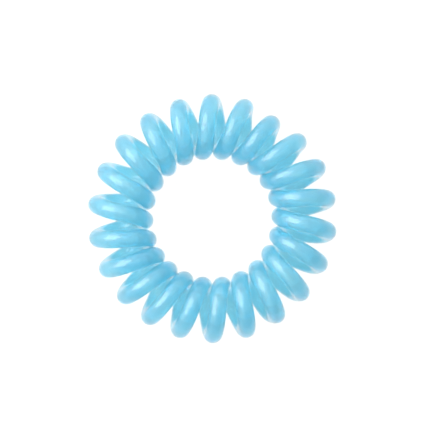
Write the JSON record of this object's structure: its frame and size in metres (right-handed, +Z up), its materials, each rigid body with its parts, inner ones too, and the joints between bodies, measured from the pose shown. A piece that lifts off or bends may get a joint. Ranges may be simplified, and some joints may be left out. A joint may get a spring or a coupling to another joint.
{
  "type": "spiral hair tie",
  "caption": "Ring-shaped hair tie made of a round light blue plastic cord, wound into a coil that closes on itself; hair is passed through its open middle.",
  "frame": {"origin": "middle of the ring's hole, in the plane that the ring lies on", "axes": "+Z up along the ring's axis; +X and +Y in the plane of the ring, with the first turn's tip 9 degrees from +X"},
  "size_m": [0.0398, 0.0399, 0.0106],
  "materials": {
    "cord_plastic": "glossy, slightly translucent light blue plastic"
  },
  "bodies": {
    "root": {"coil": "cord_plastic"}
  },
  "joints": []
}
